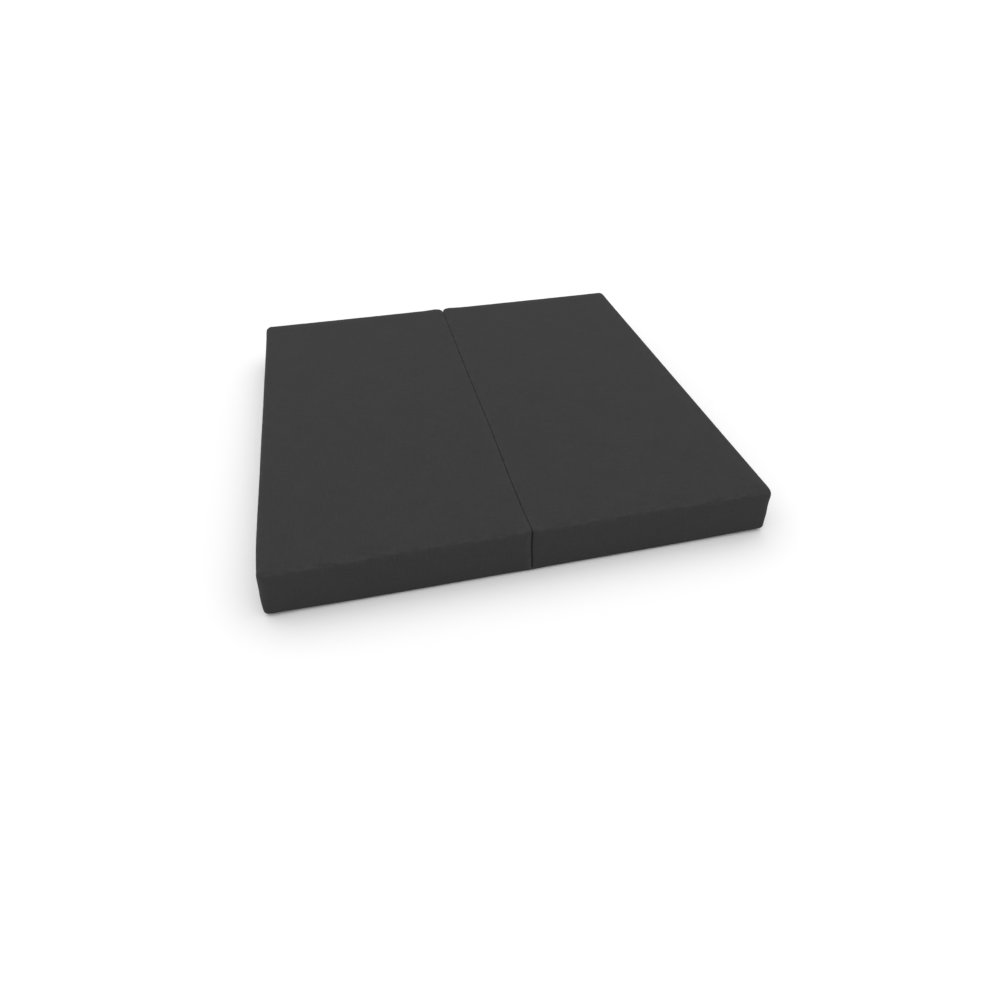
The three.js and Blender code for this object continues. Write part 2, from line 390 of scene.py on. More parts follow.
# Where the mesh of a cover has its lines, before it is made finer: distances from the fold or the front,
# and heights.
lines = {
    'spacing': 0.013,
    'frontToFold': (0.0430, 0.0280, 0.0160, 0.0098, 0.0062),
    'backToFold': (0.0446, 0.0439, 0.0432, 0.0425, 0.0418),
    'foldToFront': (0.0062, 0.0085, 0.0120, 0.0200, 0.0290),
    'outerToFront': (0.0285, 0.0295, 0.0305, 0.0320, 0.0340),
    'heights': (0.120, 0.111, 0.102, 0.093, 0.085, 0.065, 0.056, 0.046, 0.036, 0.027, 0.0215, 0.0183, 0.0160),
    'besideZipEnd': (-0.005, -0.0016, 0, 0.0016, 0.005),
    'roundEdge': (0, 22, 37, 45, 53, 68, 90),      # degrees
}


# Points and normals along one side of a slab's outline, from the middle of one corner to the middle
# of the next. angle is the way the side faces, and stations are the places of its straight part.
def outlineSide(first, second, stations, angle, steps=3):
    def arc(corner, start):
        turns = [math.radians(start + 45 * step / steps) for step in range(steps + 1)]
        return [(corner[0] + corner[2] * math.cos(turn), corner[1] + corner[2] * math.sin(turn),
                 math.cos(turn), math.sin(turn)) for turn in turns]

    normal = (round(math.cos(math.radians(angle))), round(math.sin(math.radians(angle))))
    begin, end = arc(first, angle - 45), arc(second, angle)
    x, y = begin[-1][:2]
    straight = [((station, y) if normal[0] == 0 else (x, station)) + normal for station in stations]
    return begin + straight + end


# How far a rounded edge stands in from the flat face, so far below the top.
def rounded(radius, drop):
    left = np.clip(radius - drop, 0, radius)
    return radius - np.sqrt(np.maximum(radius ** 2 - left ** 2, 0))


# A slab with rounded corners and edges, as one closed grid of quads. Corners and edges are listed
# anticlockwise from the front. radiusAt gives a corner's radius at a height, stations the places of the
# mesh along the four sides, as many on the back as on the front, wallRows are shares of the
# flat part of the wall from the top, and arcTurns the rows round an edge in degrees. Each point knows
# how far it is from the nearest seam, and how far along the outline.
def slab(low, high, corners, radiusAt, topEdges, topEnds, lowEdges, lowEnds, stations, wallRows, arcTurns,
         ease=0.035, steps=3):
    sharp = [(low[0], low[1]), (high[0], low[1]), (high[0], high[1]), (low[0], high[1])]
    inward = [(1, 1), (-1, 1), (-1, -1), (1, -1)]
    centres = [(sharp[i][0] + inward[i][0] * corners[i], sharp[i][1] + inward[i][1] * corners[i], corners[i])
               for i in range(4)]
    stations = [stations[0], stations[1], stations[2][::-1], stations[3][::-1]]
    outline, fromEnds, counts, cornerOf = [], [], [], []
    for i in range(4):
        first, second = centres[i], centres[(i + 1) % 4]
        points = outlineSide(first, second, stations[i], (270 + 90 * i) % 360, steps)[:-1]
        axis, forward = i % 2, 1 if i < 2 else -1
        for point in points:
            outline.append(point)
            fromEnds.append((i, max(0, (point[axis] - first[axis]) * forward),
                             max(0, (second[axis] - point[axis]) * forward)))
        cornerOf += [i] * (steps + 1) + [-1] * len(stations[i]) + [(i + 1) % 4] * steps
        counts.append(len(points))

    # the rounding at each point of the outline, which eases from a side's own to that of its corners
    def roundingOf(edges, ends):
        return np.array([edges[i] + (ends[i] - edges[i]) * (1 - smoothstep(fromFirst, 0, ease))
                         + (ends[(i + 1) % 4] - edges[i]) * (1 - smoothstep(fromSecond, 0, ease))
                         for i, fromFirst, fromSecond in fromEnds])

    outline = np.array(outline)
    topRound, lowRound = roundingOf(topEdges, topEnds), roundingOf(lowEdges, lowEnds)
    topOwn = np.minimum(topRound, np.array([topEdges[i] for i, _, _ in fromEnds]))
    lowOwn = np.minimum(lowRound, np.array([lowEdges[i] for i, _, _ in fromEnds]))
    count, countX, countY = len(outline), counts[0], counts[1]
    lengths = np.linalg.norm(np.diff(outline[:, :2], axis=0, append=outline[:1, :2]), axis=1)
    run = np.concatenate([[0], np.cumsum(lengths)])
    rows, seams, panels = [], [], []

    def addRow(z, seam, panel):
        drop, rise = high[2] - z, z - low[2]
        inset = rounded(topOwn, drop) + rounded(lowOwn, rise)
        row = outline[:, :2] - outline[:, 2:] * inset[:, None]
        for k in np.flatnonzero(np.array(cornerOf) >= 0):
            corner = cornerOf[k]
            standIn = [rounded(min(topEdges[side], topEnds[corner]), drop[k])
                       + rounded(min(lowEdges[side], lowEnds[corner]), rise[k])
                       for side in ((corner - 1, corner) if corner % 2 == 0 else (corner, corner - 1))]
            radius = max(radiusAt(corner, z[k]) - max(standIn), 0.0003)
            for axis in (0, 1):
                row[k, axis] = sharp[corner][axis] + inward[corner][axis] * (standIn[axis] + radius) \
                    + outline[k, 2 + axis] * radius
        rows.append(np.column_stack([row, z]))
        seams.append(seam)
        panels.append(panel)

    quarter = math.pi / 4
    for turn in np.radians(arcTurns):
        addRow(high[2] - topRound * (1 - math.cos(turn)), topRound * abs(turn - quarter),
               'top' if turn < quarter else 'wall')
    flat = high[2] - low[2] - topRound - lowRound
    for share in wallRows:
        addRow(high[2] - topRound - flat * share,
               np.minimum(flat * share + topRound * quarter, flat * (1 - share) + lowRound * quarter), 'wall')
    for turn in np.radians(arcTurns[::-1]):
        addRow(low[2] + lowRound * (1 - math.cos(turn)), lowRound * abs(turn - quarter),
               'wall' if turn > quarter else 'low')
    points = list(np.concatenate(rows))
    seam = list(np.concatenate(seams))
    runs = list(np.tile(run[:-1], len(rows)))

    # one of the two flat faces, filled in from the row round it
    def fill(row, rounding):
        edge, start = rows[row], row * count
        ring = {'front': lambda i: i, 'fold': lambda j: countX + j,
                'back': lambda i: 2 * countX + countY - i, 'outer': lambda j: (-j) % count}
        front = edge[[ring['front'](i) for i in range(countX + 1)]]
        back = edge[[ring['back'](i) for i in range(countX + 1)]]
        fold = edge[[ring['fold'](j) for j in range(countY + 1)]]
        outer = edge[[ring['outer'](j) for j in range(countY + 1)]]
        index = {}
        for i in range(countX + 1):
            index[i, 0], index[i, countY] = start + ring['front'](i), start + ring['back'](i)
        for j in range(countY + 1):
            index[countX, j], index[0, j] = start + ring['fold'](j), start + ring['outer'](j)
        shareX = (front[:, 0] - front[0, 0]) / (front[-1, 0] - front[0, 0])
        shareY = (fold[:, 1] - fold[0, 1]) / (fold[-1, 1] - fold[0, 1])
        for i in range(1, countX):
            for j in range(1, countY):
                u, v = shareX[i], shareY[j]
                point = ((1 - v) * front[i] + v * back[i] + (1 - u) * outer[j] + u * fold[j]
                         - (1 - u) * (1 - v) * front[0] - u * (1 - v) * front[-1]
                         - (1 - u) * v * back[0] - u * v * back[-1])
                reach, nearest = min((abs(point[1] - front[i][1]), ring['front'](i)),
                                     (abs(point[0] - fold[j][0]), ring['fold'](j)),
                                     (abs(point[1] - back[i][1]), ring['back'](i)),
                                     (abs(point[0] - outer[j][0]), ring['outer'](j)))
                index[i, j] = len(points)
                points.append(point)
                seam.append(reach + rounding[nearest] * quarter)
                runs.append(run[nearest])
        return index

    topIndex, lowIndex = fill(0, topRound), fill(len(rows) - 1, lowRound)
    faces, places = [], []
    for i in range(countX):
        for j in range(countY):
            ring = [(i, j), (i + 1, j), (i + 1, j + 1), (i, j + 1)]
            for index, order in ((topIndex, ring), (lowIndex, ring[::-1])):
                faces.append([index[spot] for spot in order])
                places.append([tuple(points[index[spot]][:2]) for spot in order])
    for row in range(len(rows) - 1):
        laidFlat = panels[row] == 'top' or panels[row + 1] == 'low'
        for k in range(count):
            corner = [(row + 1, k), (row + 1, k + 1), (row, k + 1), (row, k)]
            spots = [points[r * count + c % count] for r, c in corner]
            faces.append([r * count + c % count for r, c in corner])
            places.append([tuple(spot[:2]) if laidFlat else (run[c], spot[2])
                           for spot, (r, c) in zip(spots, corner)])
    return {'points': np.array(points), 'faces': faces, 'places': places, 'seam': np.array(seam),
            'run': np.array(runs)}


# A slab's form as an object; towards is -1 for the mirror image, which is the right half.
def slabObject(name, form, points, towards, material):
    made = newMesh(name, points * (towards, 1, 1), [face[::towards] for face in form['faces']], material)
    addClothPlaces(made.data, [spot for face in form['places'] for spot in face[::towards]])
    addNumbers(made.data, 'seam', form['seam'])
    addNumbers(made.data, 'run', form['run'])
    return made


def subdivide(piece):
    finer = piece.modifiers.new('finer', 'SUBSURF')
    finer.levels = finer.render_levels = 1
    return settle(piece)


# Stations from one place to another, about so far apart, with extra ones added.
def spaced(start, end, step, extra=()):
    count = max(1, round((end - start) / step))
    even = [start + (end - start) * i / count for i in range(count + 1)]
    clear = [spot for spot in even if all(abs(spot - other) > step * 0.35 for other in extra)]
    return sorted(clear + list(extra))


foldX = -cushion['gap'] / 2
zipEnds = (zipLow.x, zipHigh.x)
zipMiddle = (slotLow + slotHigh) / 2
topEdge, lowEdge = cushion['topEdges'][0], cushion['lowEdges'][0]
endColumns = [spot + shift for spot in zipEnds for shift in lines['besideZipEnd']]
slotRows = [slotHigh + 0.0006, slotHigh - 0.0003, slotLow + 0.0003, slotLow - 0.0006]
rowHeights = sorted(slotRows + list(lines['heights']), reverse=True)
wallShares = [(height - topEdge - z) / (height - topEdge - lowEdge) for z in rowHeights]
outerRound = cushion['corners'][0]


def coverRadius(corner, z):
    start, end = cushion['lip'] if corner == 1 else (0.015, 0.110)
    low, top = cushion['lowCorners'][corner], cushion['corners'][corner]
    return low + (top - low) * float(smoothstep(z, start, end))


evenX = spaced(leftLow.x + outerRound + 0.008, foldX - 0.0560, lines['spacing'], endColumns)
evenY = spaced(leftLow.y + outerRound + 0.012, leftHigh.y - 0.046, lines['spacing'])
coverForm = slab(
    leftLow, (foldX, leftHigh.y, leftHigh.z), cushion['corners'], coverRadius,
    cushion['topEdges'], cushion['topEnds'], cushion['lowEdges'], cushion['lowEnds'],
    [evenX + [foldX - place for place in lines['frontToFold']],
     [leftLow.y + place for place in lines['foldToFront']] + evenY,
     evenX + [foldX - place for place in lines['backToFold']],
     [leftLow.y + place for place in lines['outerToFront']] + evenY],
    wallShares, lines['roundEdge'])
print('cover form', len(coverForm['points']), 'points')


# The sides draw in a little between their corners.
def drawIn(points):
    x, y, z = points.T
    reach = 0.12
    outer = 1 - smoothstep(x - leftLow.x, 0, reach)
    front = 1 - smoothstep(y - leftLow.y, 0, reach)
    back = 1 - smoothstep(leftHigh.y - y, 0, reach)
    half = (leftHigh.x - leftLow.x) / 2
    bowY = 1 - np.abs(y / leftHigh.y) ** 8
    bowX = 1 - np.abs((x - (leftLow.x + half)) / half) ** 6
    drawn = points.copy()
    drawn[:, 0] += cushion['pullIn'] * outer * bowY
    drawn[:, 1] += cushion['pullIn'] * bowX * (front * 0.4 - back)
    return drawn


# The cover swells a little over its filling, held along its seams, its underside, its fold side and
# beside the zip. Only one half is worked out, and the other is its mirror image.
def swellCover(form):
    rest = drawIn(form['points'])
    onTop, onBack = rest[:, 2] > height - 0.001, rest[:, 1] > backFace - 0.006
    pad = newMesh('swellingCover', rest, form['faces'], coverMaterial)
    onZip = onBack & (abs(rest[:, 2] - zipMiddle) < 0.006)
    held = (form['seam'] < 0.0005) | (rest[:, 0] > foldX - 0.003) | onZip | (rest[:, 2] < lowEdge * 0.5)
    group = pad.vertex_groups.new(name='held')
    group.add([int(i) for i in np.flatnonzero(held)], 1.0, 'REPLACE')
    cloth = pad.modifiers.new('swell', 'CLOTH')
    cloth.settings.quality = 5
    cloth.settings.mass = 0.3
    cloth.settings.tension_stiffness = cloth.settings.compression_stiffness = 25
    cloth.settings.shear_stiffness = 10
    cloth.settings.bending_stiffness = 2.0
    cloth.settings.use_pressure = True
    cloth.settings.uniform_pressure_force = 4
    cloth.settings.vertex_group_mass = 'held'
    cloth.settings.effector_weights.gravity = 0
    cloth.collision_settings.use_collision = False
    cloth.point_cache.frame_start, cloth.point_cache.frame_end = 1, 20
    for step in range(1, 21):
        scene.frame_set(step)
    settle(pad)
    moved = pointsOf(pad.data) - rest
    scene.frame_set(1)
    bpy.data.objects.remove(pad)
    limit = np.where(onBack, cushion['zipCrown'], np.where(onTop, cushion['crown'], cushion['wallCrown']))
    far = np.linalg.norm(moved, axis=1)
    print('swell, before the limit', round(float(far.max()) * 1000, 2), 'mm')
    return rest + moved * (limit * np.tanh(far / limit) / np.maximum(far, 1e-9))[:, None]


coverPoints = swellCover(coverForm)


# Seams, puckers and unevenness, the slot of the zip, the lips at the fold and the hinge strip's seat.
def makeCover(side, towards, seed):
    formPoints = coverForm['points']
    slot = ((formPoints[:, 1] > backFace - 0.0005)
            & (abs(formPoints[:, 2] - zipMiddle) < (slotHigh - slotLow) / 2)
            & (formPoints[:, 0] > zipEnds[0] + 0.001) & (formPoints[:, 0] < zipEnds[1] - 0.001))
    cover = slabObject(side + 'Cover', coverForm, coverPoints, towards, coverMaterial)
    addNumbers(cover.data, 'slot', slot.astype(float))
    # lighter near the seams for wear; beside the gap, on the left half's front only, a painted highlight
    # where that corner catches light
    strength, place, width = cloth['wearAndGapHighlight']
    gapHighlight = np.exp(-((foldX - place - formPoints[:, 0]) / width) ** 2) \
        * (formPoints[:, 1] < leftLow.y + 0.005) * (formPoints[:, 2] < height - topEdge)
    wearAndGapHighlight = np.exp(-coverForm['seam'] / 0.006) + strength * gapHighlight * (towards > 0)
    addNumbers(cover.data, 'edgeWearAndGapHighlight', wearAndGapHighlight)
    addNumbers(cover.data, 'back', (formPoints[:, 1] > backFace - 0.0005).astype(float))
    subdivide(cover)
    mesh = cover.data
    points = pointsOf(mesh) * (towards, 1, 1)  # both are shaped as the left half
    normals = pointsOf(mesh, 'normal') * (towards, 1, 1)
    seam, run = numbersOf(mesh, 'seam'), numbersOf(mesh, 'run')
    inSlot, onBack = numbersOf(mesh, 'slot'), smoothstep(numbersOf(mesh, 'back'), 0.7, 1)
    x, y, z = points.T

    along = run[:, None]
    tops = 0.5 + 0.5 * unevenness(along, 0.030, seed) + 0.25 * unevenness(along, 0.075, seed + 1)
    lows = 0.5 + 0.5 * unevenness(along, 0.030, seed + 2)
    drawn = np.clip(np.where(z > height / 2, tops, lows), 0, 1.6)
    free = 1 - np.exp(-seam / 0.03)
    raised = -cloth['seamDepth'] * np.exp(-(seam / cloth['seamWidth']) ** 2)
    raised -= cloth['pucker'] * drawn * np.exp(-seam / cloth['puckerReach']) * (1 - np.exp(-seam / 0.0015))
    for n, (wave, length) in enumerate(cloth['waves']):
        raised += wave * unevenness(points, length, seed + 3 + n) * free
    deep, wide = cloth['endSeam']
    for end in zipEnds:
        raised -= deep * np.exp(-((x - end) / wide) ** 2) * onBack * smoothstep(seam, 0.002, 0.008)
    zipped = smoothstep(x, zipEnds[0], zipEnds[0] + 0.004) \
        * (1 - smoothstep(x, zipEnds[1] - 0.004, zipEnds[1]))
    fromSlot = abs(z - zipMiddle) - (slotHigh - slotLow) / 2
    hemHigh, hemPlace, hemWide = cloth['hem']
    raised += hemHigh * np.exp(-((fromSlot - hemPlace) / hemWide) ** 2) * onBack * zipped \
        * (1 - smoothstep(inSlot, 0, 0.3))
    raised *= 0.35 + 0.65 * smoothstep(foldX - x, 0.0015, 0.02)
    points = points + normals * raised[:, None]
    points[:, 1] -= inSlot * cloth['slotDepth']

    x, y, z = points.T
    slack = 1 if towards > 0 else cushion['rightSlack']
    x = x + cushion['slackCorner'] * slack * np.exp(-((y - leftLow.y) / 0.085) ** 2) \
        * np.exp(-((x - leftLow.x) / 0.09) ** 2) * smoothstep(z, 0.03, 0.13)
    lip = 1 - smoothstep(z, *cushion['lip'])
    opened = 1 - smoothstep(y - leftLow.y, cushion['openReach'] - 0.003, cushion['openReach'] + 0.003)
    meet = (cushion['gap'] - cushion['lipGap']) / 2 * np.maximum(lip, 1 - opened)
    x = x + meet * smoothstep(x, foldX - 0.03, foldX)
    x = x - 0.0010 * opened * np.exp(-((z - 0.0200) / 0.003) ** 2) * (x > foldX - 0.006)
    x = np.minimum(x, -cushion['lipGap'] / 2)
    inX, inY = -cushion['lipGap'] / 2 - x, y - leftLow.y - rounded(cushion['lowEdges'][0], z)
    square = lip * (inX < 0.006) * (inY < 0.006)  # the front corners meet square below the gap
    x, y = x + np.where(inX < inY, inX * square, 0), y - np.where(inX < inY, 0, inY * square)
    nearFold = smoothstep(x, foldX - 0.03, foldX)
    atFront = np.exp(-((y - leftLow.y) / 0.05) ** 2)
    leanLow, leanTop = cushion['frontLean']
    lean = smoothstep(z, 0.006, 0.013) * (leanLow + (leanTop - leanLow) * smoothstep(z, 0.025, 0.1)) * atFront
    wander = np.interp(y, *zip(*cushion['wander'])) * smoothstep(z, 0.04, 0.12) * (1 - atFront)
    shift = (lean + wander) * nearFold * towards
    cornerOut = cushion['fullCorner'] * (towards < 0) * np.exp(-((y - leftLow.y) / 0.022) ** 2) \
        * np.exp(-((x - leftLow.x) / 0.022) ** 2) * smoothstep(z, 0.02, 0.07) \
        * (1 - smoothstep(z, 0.125, 0.148))
    curl = cushion['curl'] * np.exp(-((x - leftLow.x) / 0.17) ** 2 - ((y - leftLow.y) / 0.03) ** 2) \
        * (1 - smoothstep(z, 0, 0.05))
    seat = (1 - smoothstep(-x, cushion['stripWidth'] - 0.001, cushion['stripWidth'] + 0.001)) \
        * (1 - smoothstep(abs(y), backFace - 0.0105, backFace - 0.0075))
    z = np.maximum(np.maximum(z, 0.00015), cushion['stripDepth'] * seat)
    movePoints(mesh, np.column_stack([(x + shift - cornerOut) * towards, y - cornerOut * 0.6, z + curl]))
    mesh.set_sharp_from_angle(angle=math.radians(62))
    for name in ('slot', 'back', 'seam', 'run'):
        mesh.attributes.remove(mesh.attributes[name])
    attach(cover, side + '_half')
    panels = ('cover_top', 'cover_underside', 'cover_border', 'zip_panel_upper', 'zip_panel_lower')
    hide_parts(*[f'{side}_{node}' for node in panels])
    return cover


covers = {'left': makeCover('left', 1, 11), 'right': makeCover('right', -1, 47)}
print('covers made', len(covers['left'].data.vertices), 'points each')


# The filling: a foam slab between two layers of wadding, in a thin bag. Each has its material, a slot name
# that nothing here uses, the radius of its corners and of its edges, and how uneven it is.
filling = {
    'foam_core': (foamMaterial, 'foam', 0.016, 0.006, 0.0),
    'upper_wadding': (waddingMaterial, 'wadding', 0.018, 0.005, 0.0007),
    'lower_wadding': (waddingMaterial, 'wadding', 0.018, 0.005, 0.0007),
    'inner_liner': (linerMaterial, 'liner', 0.020, 0.016, 0.0003),
}

fillingRoom = Vector((0.006, 0.006, 0.0008))  # to the cover


def makeFilling(side, node, material, slotName, corner, edge, unevenBy):
    low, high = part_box(f'{side}_{node}')
    low, high = low + fillingRoom, high - fillingRoom
    reach = corner + 0.006
    evenX, evenY = (spaced(low[i] + reach, high[i] - reach, 0.03) for i in (0, 1))
    form = slab(low, high, (corner,) * 4, lambda _, z: corner, *[(edge,) * 4] * 4,
                (evenX, evenY, evenX, evenY), [0.25, 0.5, 0.75], [0, 30, 60, 90])
    piece = slabObject(f'{side}_{node}_filled', form, form['points'], 1, material)
    subdivide(piece)
    points, normals = pointsOf(piece.data), pointsOf(piece.data, 'normal')
    dents = unevenness(points, 0.05, len(node) + len(side)) - 1.5
    movePoints(piece.data, points + normals * (np.clip(dents, -3, 0) * unevenBy)[:, None])
    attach(piece, side + '_half')
    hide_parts(f'{side}_{node}')


for side in halfNames:
    for node, look in filling.items():
        makeFilling(side, node, *look)
print('filling made')


# A thin sheet of two layers of points in rows, closed round its edges. Every point has its place on the
# cloth; towards is -1 to turn the sheet inside out.
def newSheet(name, points, places, wide, material, towards=1):
    sheet = len(points) // 2
    last = sheet - wide
    faces = []
    for start in range(0, last, wide):
        for a in range(start, start + wide - 1):
            faces += [(a, a + 1, a + wide + 1, a + wide),
                      (sheet + a, sheet + a + wide, sheet + a + wide + 1, sheet + a + 1)]
        a, b = start, start + wide - 1
        faces += [(a, a + wide, sheet + a + wide, sheet + a), (b, sheet + b, sheet + b + wide, b + wide)]
    for a in range(wide - 1):
        b = last + a
        faces += [(a, sheet + a, sheet + a + 1, a + 1), (b, b + 1, sheet + b + 1, sheet + b)]
    faces = [face[::towards] for face in faces]
    piece = newMesh(name, points, faces, material)
    addClothPlaces(piece.data, [places[spot] for face in faces for spot in face])
    return piece


# The strip across the fold, sewn to both undersides. It is made flat, with its columns closest together at
# its middle, where the real strip bends.
strip = {
    'top': 0.0014,
    'low': 0.0001,
    'middle': 0.0007,
    'bend': 0.0019,   # half the width that bends
    'columns': (0.0185, 0.0183, 0.0176, 0.015, 0.012, 0.009, 0.006, 0.0038, 0.0025, 0.0019, 0.0013, 0.0008,
                0.0004),
    'hem': (0.0125, 0.0176),
    'hemHigh': 0.0001,
}


def makeStrip():
    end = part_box('left_hinge_flap')[1].y
    columns = sorted([-x for x in strip['columns']] + [0] + list(strip['columns']))
    edges = {0: 0.5, 1: 0.15, len(columns) - 2: 0.15, len(columns) - 1: 0.5}
    low, top, bend, middle = strip['low'], strip['top'], strip['bend'], strip['middle']
    hemStart, hemEnd = strip['hem']
    points = []
    for layer in (0, 1):
        for y in spaced(-end, end, 0.010):
            for i, x in enumerate(columns):
                inset = edges.get(i, 0) * (top - low)
                inHem = hemStart < abs(x) < hemEnd
                hem = strip['hemHigh'] * math.cos((abs(x) - 0.0155) / 0.0015) if inHem else 0
                points.append((x, y, low + inset + max(0, -hem) if layer == 0 else top - inset))
    places = [(x, y + z) for x, y, z in points]
    piece = newSheet('hingeStrip', points, places, len(columns), hingeMaterial, -1)
    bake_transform(piece)
    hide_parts('left_hinge_flap', 'right_hinge_flap')


makeStrip()
print('hinge strip made')


# A tube along a path of points; radii may change along it, and ends close on a point. section gives the
# shape of its cross-section where it isn't round, as places along the path's side and along across.
def tube(path, radii, sides, across=(0, 0, 1), section=None):
    path = np.asarray(path, float)
    ahead = np.gradient(path, axis=0)
    ahead /= np.linalg.norm(ahead, axis=1)[:, None]
    first = np.cross(ahead, across)
    first /= np.linalg.norm(first, axis=1)[:, None]
    second = np.cross(ahead, first)
    turns = np.arange(sides) * math.tau / sides
    profile = np.column_stack([np.cos(turns), np.sin(turns)]) if section is None else np.array(section)
    rings = path[:, None] + np.reshape(radii, (-1, 1, 1)) * (first[:, None] * profile[None, :, :1]
                                                             + second[:, None] * profile[None, :, 1:])
    points = np.concatenate([rings.reshape(-1, 3), path[:1], path[-1:]])
    faces = []
    for j in range(len(path) - 1):
        for i in range(sides):
            k = (i + 1) % sides
            faces.append((j * sides + i, j * sides + k, (j + 1) * sides + k, (j + 1) * sides + i))
    top, end = len(points) - 2, len(points) - 1
    last = (len(path) - 1) * sides
    for i in range(sides):
        k = (i + 1) % sides
        faces += [(top, k, i), (end, last + i, last + k)]
    return points, faces


def joined(parts):
    points, faces, start = [], [], 0
    for somePoints, someFaces in parts:
        points.append(somePoints)
        faces += [tuple(i + start for i in face) for face in someFaces]
        start += len(somePoints)
    return np.concatenate(points), faces


def treeOf(piece):
    mesh = piece.data
    return BVHTree.FromPolygons([vertex.co for vertex in mesh.vertices],
                                [polygon.vertices[:] for polygon in mesh.polygons])


trees = {side: treeOf(cover) for side, cover in covers.items()}


# The point of a cover met from outside along a direction, and its normal.
def surface(side, point, direction):
    point, direction = Vector(point), Vector(direction)
    spot, normal, _, _ = trees[side].ray_cast(point - direction * 0.03, direction, 0.06)
    return (spot, normal) if spot else (point, -direction)


sewing = {
    'stitch': 0.0027,
    'pitch': 0.0035,
    'thread': 0.00032,
    'fromSlot': (0.0022, 0.0105),   # of the two rows on each side of the zip
    'fromEnd': 0.002,
}


# A row of stitches along a line on a cover.
def stitchRow(side, start, end, direction):
    start, end = Vector(start), Vector(end)
    ahead = (end - start).normalized()
    parts = []
    for n in range(int((end - start).length / sewing['pitch'])):
        middle = start + ahead * (n + 0.5) * sewing['pitch']
        spot, normal = surface(side, middle, direction)
        half = ahead * sewing['stitch'] / 2
        path = [spot + half * share + normal * rise * sewing['thread']
                for share, rise in ((-1, -0.9), (-0.8, 0.1), (-0.3, 0.6), (0.3, 0.6), (0.8, 0.1), (1, -0.9))]
        parts.append(tube(path, np.array([0.5, 0.9, 1, 1, 0.9, 0.5]) * sewing['thread'], 6, normal))
    return parts


def threadPiece(name, parts, material, side):
    piece = newMesh(name, *joined(parts), material)
    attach(piece, side + '_half')


def makeStitches(side, towards):
    middle = halfMiddle * towards
    first = middle + zipLow.x - halfMiddle + sewing['fromEnd']
    last = middle + zipHigh.x - halfMiddle - sewing['fromEnd']
    rows = []
    for edge, up in ((slotHigh, 1), (slotLow, -1)):
        for away in sewing['fromSlot']:
            z = edge + up * away
            rows += stitchRow(side, (first, backFace, z), (last, backFace, z), (0, -1, 0))
    threadPiece(side + '_zip_stitching', rows, threadMaterial, side)


for side, towards in (('left', 1), ('right', -1)):
    makeStitches(side, towards)
print('stitching made')


# The zip: two woven tapes behind the slot, each with its coil, its stops, and the slider and its pull.
zipper = {
    'pitch': 0.0020,
    'wire': 0.00035,
    'coilTall': 0.00082,   # half the height of a turn
    'coilDeep': 0.00045,
    'ring': 12,            # points in a turn
    'bead': 0.0004,        # thickening of the tape beside the coil
    'tapeShort': 0.0030,   # from the tape's end to the seam at the end of the zip
    'tapeStep': 0.0045,
    'tapeRows': (0, 0.015, 0.06, 0.11, 0.15, 0.25, 0.45, 0.7, 0.93, 1),   # from the coil outwards
    'tapeEdge': 0.00024,   # how much thinner each face is at the tape's edges
    'metalBevel': 0.0002,
}


def makeCoil(side, which, phase):
    node = f'{side}_zip_coil_{which}'
    low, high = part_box(node)
    middle = (low + high) / 2
    turns = int((high.x - low.x - 2 * zipper['wire']) / zipper['pitch'])
    angles = np.arange(turns * zipper['ring'] + 1) * math.tau / zipper['ring'] + phase
    up = 1 if which == 'upper' else -1
    path = np.column_stack([
        low.x + zipper['wire'] + np.arange(len(angles)) * zipper['pitch'] / zipper['ring'],
        middle.y + zipper['coilDeep'] * np.sin(angles),
        middle.z + up * zipper['coilTall'] * np.cos(angles)])
    wound = tube(path, np.full(len(path), zipper['wire']), 5, (1, 0, 0))
    piece = newMesh(node + '_wound', *wound, nylonMaterial)
    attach(piece, side + '_half')
    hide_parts(node)


def makeTape(side, which):
    node = f'{side}_zip_tape_{which}'
    low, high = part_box(node)
    ends = zipEnds if side == 'left' else (-zipEnds[1], -zipEnds[0])
    low.x, high.x = ends[0] + zipper['tapeShort'], ends[1] - zipper['tapeShort']
    up = 1 if which == 'upper' else -1
    inner, outer = (low.z, high.z) if up > 0 else (high.z, low.z)
    stations = spaced(low.x, high.x, zipper['tapeStep'])
    points = []
    for layer in (0, 1):
        for share in zipper['tapeRows']:
            for x in stations:
                bead = zipper['bead'] * math.exp(-((share - 0.05) / 0.05) ** 2)
                wave = 0.00008 * math.sin(x * 410) + 0.00006 * math.sin(x * 173 + 1)
                thin = zipper['tapeEdge'] if share in (0, 1) else 0
                y = low.y + thin + wave if layer == 0 else high.y - thin + bead * 0.5 + wave
                points.append((x, y, inner + (outer - inner) * share))
    places = [(x, z) for x, _, z in points]
    piece = newSheet(node + '_woven', points, places, len(stations), tapeMaterial, up)
    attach(piece, side + '_half')
    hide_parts(node)


# A flat plate standing in the X-Z plane, with its edges rounded over; the first outline is its edge and
# the others are holes. Its middle is at y.
def plate(outlines, y, thick, bevel):
    curve = bpy.data.curves.new('plate', 'CURVE')
    curve.dimensions = '2D'
    curve.fill_mode = 'BOTH'
    curve.extrude = thick / 2 - bevel
    curve.bevel_depth = bevel
    curve.bevel_resolution = 2
    curve.offset = -bevel
    for outline in outlines:
        spline = curve.splines.new('POLY')
        spline.points.add(len(outline) - 1)
        for point, (x, z) in zip(spline.points, outline):
            point.co = (x, z, 0, 1)
        spline.use_cyclic_u = True
    shape = bpy.data.objects.new('plate', curve)
    scene.collection.objects.link(shape)
    bpy.context.view_layer.update()
    mesh = shape.to_mesh()
    points = pointsOf(mesh)
    faces = [tuple(polygon.vertices) for polygon in mesh.polygons]
    shape.to_mesh_clear()
    bpy.data.objects.remove(shape)
    return np.column_stack([points[:, 0], y - points[:, 2], points[:, 1]]), faces


